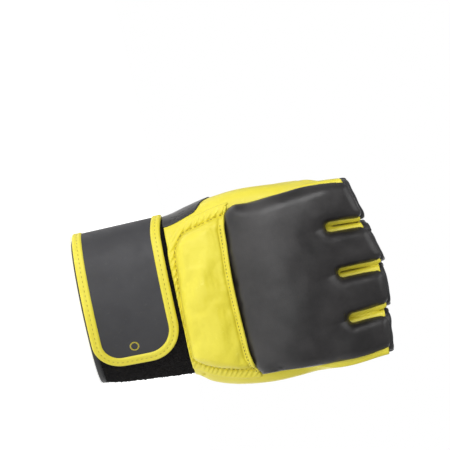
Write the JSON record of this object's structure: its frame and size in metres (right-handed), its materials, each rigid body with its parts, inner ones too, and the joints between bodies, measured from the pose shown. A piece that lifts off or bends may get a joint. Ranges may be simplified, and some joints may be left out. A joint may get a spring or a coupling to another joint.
{
  "type": "mma glove",
  "caption": "Open-finger padded grappling glove for the left hand: thick knuckle pad, padded wrist, open palm and a wrap-round hook-and-loop wrist strap.",
  "frame": {"origin": "middle of the wrist opening, on the plane that the cuff's hem stands on", "axes": "+Z from the cuff to the fingertips, -Y out of the back of the hand, +Y out of the palm, -X the little finger's side, +X the thumb's side"},
  "size_m": [0.1229, 0.0712, 0.1945],
  "materials": {
    "yellow_leather": "soft satin synthetic leather with fine creases",
    "charcoal_leather": "satin synthetic leather with a fine grain",
    "black_binding": "matte bound edge",
    "sleeve_fabric": "knitted elastic",
    "loop_fabric": "brushed loop pile",
    "mesh_lining": "open mesh with lighter eyelets",
    "hook_plastic": "fine moulded hooks",
    "foam": "closed cell foam sheet"
  },
  "bodies": {
    "hand": {"cuff_sleeve": "sleeve_fabric", "cuff_loop_panel": "loop_fabric", "cuff_palm_panel": "sleeve_fabric", "cuff_hem": "black_binding", "strap_wrap": "charcoal_leather", "strap_wrap_edging": "yellow_leather", "hand_lining": "mesh_lining", "wrist_pad_foam": "foam", "wrist_pad_cover": "yellow_leather", "knuckle_pad_foam": "foam", "knuckle_pad_cover": "charcoal_leather", "palm_panel": "yellow_leather", "side_gusset": "charcoal_leather", "palm_binding": "black_binding", "finger_webs": "yellow_leather"},
    "strap": {"strap_flap": "charcoal_leather", "strap_edging": "yellow_leather", "strap_hook_patch": "hook_plastic"},
    "little_stall": {"little_stall_leather": "yellow_leather", "little_stall_lining": "mesh_lining", "little_stall_foam": "foam", "little_stall_cover": "charcoal_leather", "little_tip_binding": "black_binding"},
    "ring_stall": {"ring_stall_leather": "yellow_leather", "ring_stall_lining": "mesh_lining", "ring_stall_foam": "foam", "ring_stall_cover": "charcoal_leather", "ring_tip_binding": "black_binding"},
    "middle_stall": {"middle_stall_leather": "yellow_leather", "middle_stall_lining": "mesh_lining", "middle_stall_foam": "foam", "middle_stall_cover": "charcoal_leather", "middle_tip_binding": "black_binding"},
    "index_stall": {"index_stall_leather": "yellow_leather", "index_stall_lining": "mesh_lining", "index_stall_foam": "foam", "index_stall_cover": "charcoal_leather", "index_tip_binding": "black_binding"}
  },
  "joints": [
    {"name": "strap_peel", "type": "hinge", "parent": "hand", "child": "strap", "pos_m": [-0.0522, 0, 0.03], "axis": [0, 0, -1], "range_deg": [0, 140]},
    {"name": "little_curl", "type": "hinge", "parent": "hand", "child": "little_stall", "pos_m": [-0.036, 0, 0.1635], "axis": [-1, 0, 0], "range_deg": [0, 30], "stiffness_Nm_per_rad": 0.3},
    {"name": "ring_curl", "type": "hinge", "parent": "hand", "child": "ring_stall", "pos_m": [-0.006, 0, 0.1635], "axis": [-1, 0, 0], "range_deg": [0, 30], "stiffness_Nm_per_rad": 0.3},
    {"name": "middle_curl", "type": "hinge", "parent": "hand", "child": "middle_stall", "pos_m": [0.024, 0, 0.1635], "axis": [-1, 0, 0], "range_deg": [0, 30], "stiffness_Nm_per_rad": 0.3},
    {"name": "index_curl", "type": "hinge", "parent": "hand", "child": "index_stall", "pos_m": [0.054, 0, 0.1635], "axis": [-1, 0, 0], "range_deg": [0, 30], "stiffness_Nm_per_rad": 0.3}
  ]
}
